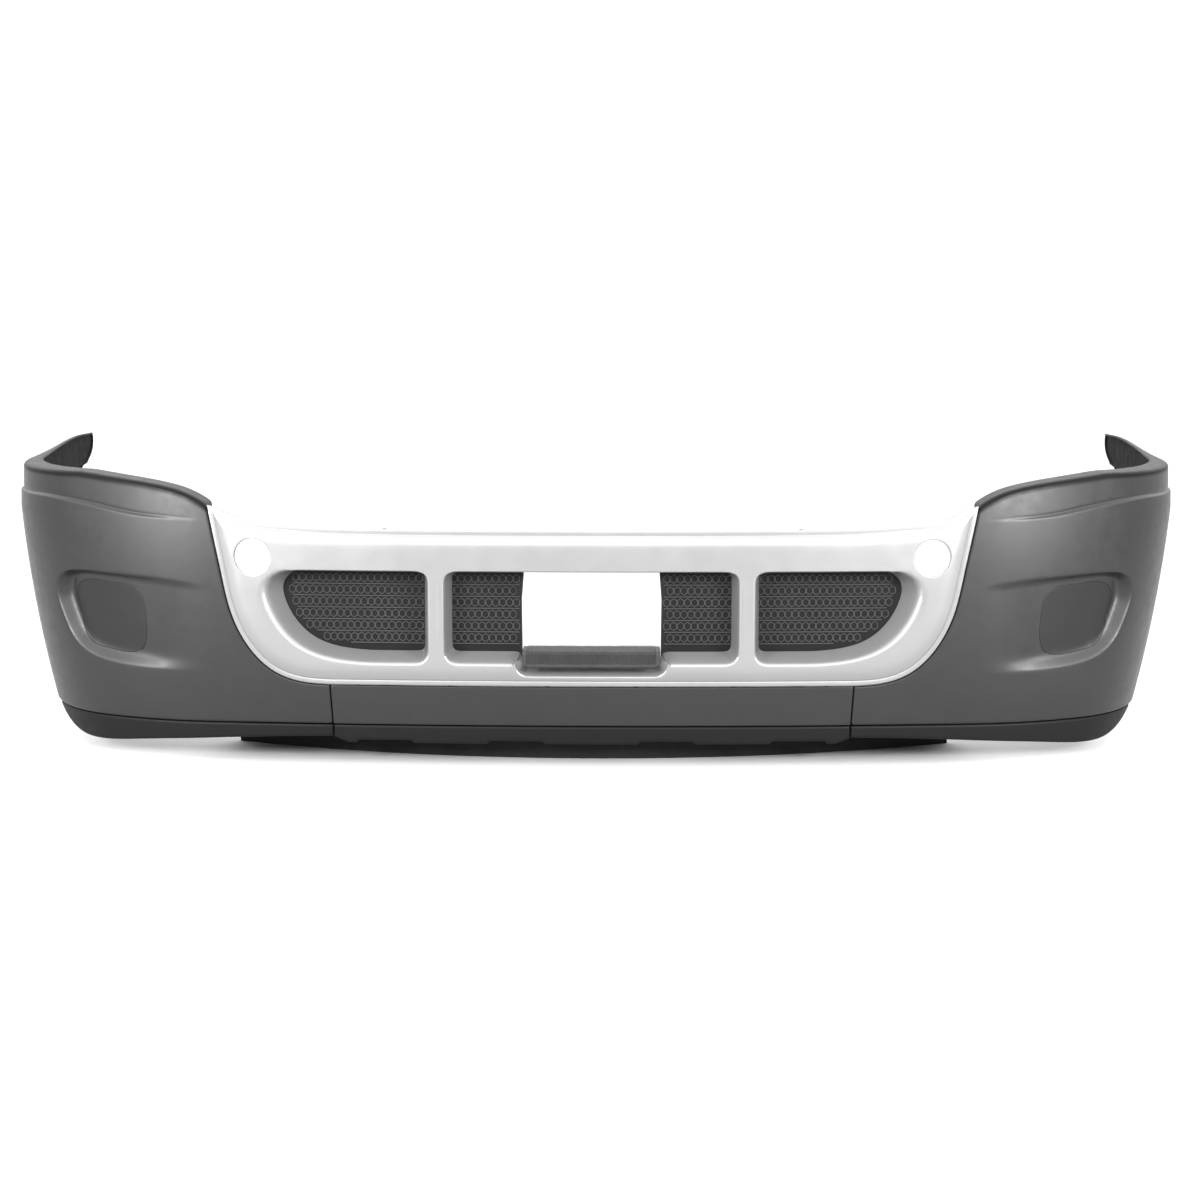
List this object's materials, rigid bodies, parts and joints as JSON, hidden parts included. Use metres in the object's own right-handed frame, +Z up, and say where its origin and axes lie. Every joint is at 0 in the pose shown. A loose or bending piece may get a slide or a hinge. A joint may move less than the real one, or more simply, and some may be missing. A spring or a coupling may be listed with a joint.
{
  "type": "bumper cover",
  "caption": "Wide wrap-round truck front bumper cover: silver centre surround with mesh openings and a window, dark corner covers, black lip and skirt on a steel carrier.",
  "frame": {"origin": "centre plane of the truck, middle of the depth, at the lowest edge of the skirt", "axes": "+X to the right seen from the front, front face towards -Y, +Z up"},
  "size_m": [2.502, 0.9047, 0.6139],
  "materials": {
    "silver_paint": "satin silver paint over moulded plastic",
    "dark_grey_plastic": "fine moulded grain, dark grey",
    "black_plastic": "textured black",
    "grille_plastic": "black, embossed hexagon mesh",
    "black_rubber": "flexible black air-dam rubber",
    "tread_rubber": "ribbed tread rubber",
    "coated_steel": "black electrocoat",
    "galvanised_steel": "galvanised",
    "zinc_plate": "zinc plated"
  },
  "bodies": {
    "bumper": {"center_trim": "silver_paint", "left_grille_insert": "grille_plastic", "right_grille_insert": "grille_plastic", "left_end_cover": "dark_grey_plastic", "right_end_cover": "dark_grey_plastic", "lower_center_panel": "dark_grey_plastic", "center_lip": "black_plastic", "left_lip": "black_plastic", "right_lip": "black_plastic", "center_skirt": "black_rubber", "left_skirt": "black_rubber", "right_skirt": "black_rubber", "step_pad": "tread_rubber", "step_support": "galvanised_steel", "upper_beam": "coated_steel", "lower_beam": "coated_steel", "left_frame_bracket": "coated_steel", "right_frame_bracket": "coated_steel", "left_end_brace": "galvanised_steel", "right_end_brace": "galvanised_steel", "beam_bolts": "zinc_plate", "trim_clips": "black_plastic", "trim_screws": "zinc_plate", "seam_screws": "zinc_plate", "lip_screws": "zinc_plate", "skirt_push_pins": "black_plastic", "grille_screws": "zinc_plate", "brace_bolts": "zinc_plate"},
    "left_blank": {"left_fog_blank": "dark_grey_plastic"},
    "right_blank": {"right_fog_blank": "dark_grey_plastic"}
  },
  "joints": [
    {"name": "left_blank_pull", "type": "slide", "parent": "bumper", "child": "left_blank", "axis": [0, -1, 0], "range_m": [0, 0.08]},
    {"name": "right_blank_pull", "type": "slide", "parent": "bumper", "child": "right_blank", "axis": [0, -1, 0], "range_m": [0, 0.08]}
  ]
}
